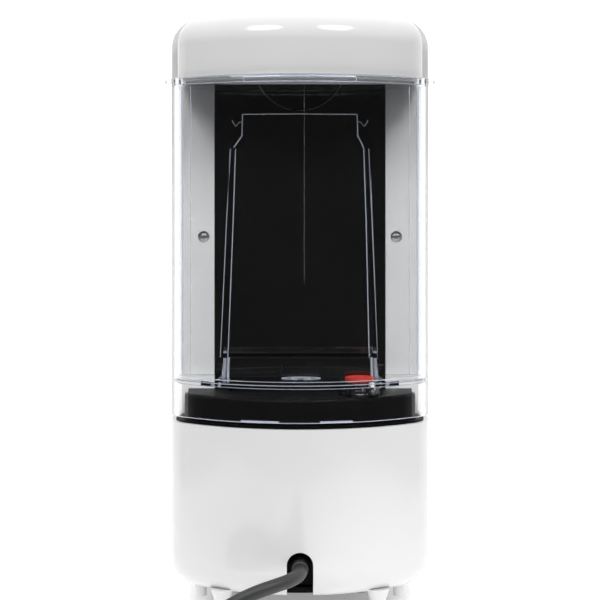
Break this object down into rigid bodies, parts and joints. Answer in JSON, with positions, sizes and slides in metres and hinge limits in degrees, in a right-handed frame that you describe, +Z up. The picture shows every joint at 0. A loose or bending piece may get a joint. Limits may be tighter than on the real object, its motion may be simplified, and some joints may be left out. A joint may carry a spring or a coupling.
{
  "type": "capsule coffee machine",
  "caption": "Compact capsule coffee machine with a clear lift-off water tank and white cap at the back, a black guide panel, hinged brew lid and slide-out drip tray.",
  "frame": {"origin": "centre of the machine's footprint at the level of the counter, with the mains cord left out", "axes": "+Z up, -Y out of the back of the machine where the tank and cord are, +Y towards the cup, +X to the right seen from the back"},
  "size_m": [0.1979, 0.475, 0.321],
  "materials": {
    "white_plastic": "gloss",
    "black_plastic": "satin",
    "grey_plastic": "satin",
    "natural_plastic": "satin",
    "dark_plastic": "satin",
    "rubber_black": "matt",
    "silicone_hose": "satin",
    "white_hose": "satin",
    "clear_plastic": "clear gloss",
    "seal_red": "satin",
    "steel": "brushed",
    "aluminium": "as cast",
    "circuit_board": "satin",
    "amber_light": "gloss"
  },
  "bodies": {
    "machine": {"base_housing": "white_plastic", "base_plate": "black_plastic", "base_plate_screws": "steel", "rubber_feet": "rubber_black", "tray_cradle": "white_plastic", "tank_dock": "black_plastic", "dock_seal": "rubber_black", "dock_pin": "grey_plastic", "rear_panel": "black_plastic", "side_panel_left": "white_plastic", "side_panel_right": "white_plastic", "side_panel_screws": "steel", "front_panel": "black_plastic", "chassis": "grey_plastic", "head_front_cover": "white_plastic", "control_fascia": "black_plastic", "status_light": "amber_light", "head_underside": "black_plastic", "rear_top_cover": "white_plastic", "hinge_pin": "steel", "capsule_chamber": "black_plastic", "chamber_flange": "black_plastic", "chamber_seal": "seal_red", "coffee_spout": "black_plastic", "pump_body": "natural_plastic", "pump_coil": "dark_plastic", "pump_mounts": "rubber_black", "flowmeter": "natural_plastic", "thermoblock": "aluminium", "thermostats": "dark_plastic", "control_board": "circuit_board", "board_components": "dark_plastic", "suction_hose": "silicone_hose", "transfer_hose": "silicone_hose", "pressure_hose": "white_hose", "brew_hose": "white_hose", "cord_clamp": "grey_plastic", "strain_relief": "rubber_black", "mains_cord": "rubber_black", "cord_coil": "rubber_black", "cord_tail": "rubber_black", "mains_plug": "rubber_black"},
    "tank": {"tank_vessel": "clear_plastic", "valve_guide": "clear_plastic", "valve_spring": "steel"},
    "tank_valve": {"valve_seal": "seal_red", "valve_stem": "dark_plastic"},
    "tank_lid": {"tank_cap": "white_plastic", "cap_inlay": "grey_plastic"},
    "brew_lid": {"brew_lid": "white_plastic", "brew_lid_liner": "black_plastic", "injection_plate": "steel", "injection_needles": "steel"},
    "release_button": {"lid_release_button": "grey_plastic"},
    "espresso_button": {"espresso_button": "grey_plastic"},
    "lungo_button": {"lungo_button": "grey_plastic"},
    "tray": {"drip_tray": "black_plastic"},
    "float": {"tray_float": "seal_red"},
    "grid": {"drip_grid": "steel"}
  },
  "joints": [
    {"name": "tank_lift", "type": "slide", "parent": "machine", "child": "tank", "axis": [0, 0, 1], "range_m": [0, 0.06]},
    {"name": "valve_travel", "type": "slide", "parent": "tank", "child": "tank_valve", "axis": [0, 0, 1], "range_m": [0, 0.002], "stiffness_N_per_m": 60, "springref_m": -0.004, "deforming": ["valve_spring"]},
    {"name": "tank_lid_lift", "type": "slide", "parent": "tank", "child": "tank_lid", "axis": [0, 0, 1], "range_m": [0, 0.05]},
    {"name": "brew_lid_hinge", "type": "hinge", "parent": "machine", "child": "brew_lid", "pos_m": [0, -0.058, 0.315], "axis": [1, 0, 0], "range_deg": [0, 95]},
    {"name": "release_press", "type": "slide", "parent": "machine", "child": "release_button", "axis": [0, -1, 0], "range_m": [0, 0.002], "stiffness_N_per_m": 400, "springref_m": -0.003},
    {"name": "espresso_press", "type": "slide", "parent": "machine", "child": "espresso_button", "axis": [0, -1, 0], "range_m": [0, 0.0015], "stiffness_N_per_m": 400, "springref_m": -0.003},
    {"name": "lungo_press", "type": "slide", "parent": "machine", "child": "lungo_button", "axis": [0, -1, 0], "range_m": [0, 0.0015], "stiffness_N_per_m": 400, "springref_m": -0.003},
    {"name": "tray_slide", "type": "slide", "parent": "machine", "child": "tray", "axis": [0, 1, 0], "range_m": [0, 0.15]},
    {"name": "float_rise", "type": "slide", "parent": "tray", "child": "float", "axis": [0, 0, 1], "range_m": [0, 0.01]},
    {"name": "grid_lift", "type": "slide", "parent": "tray", "child": "grid", "axis": [0, 0, 1], "range_m": [0, 0.03]}
  ]
}
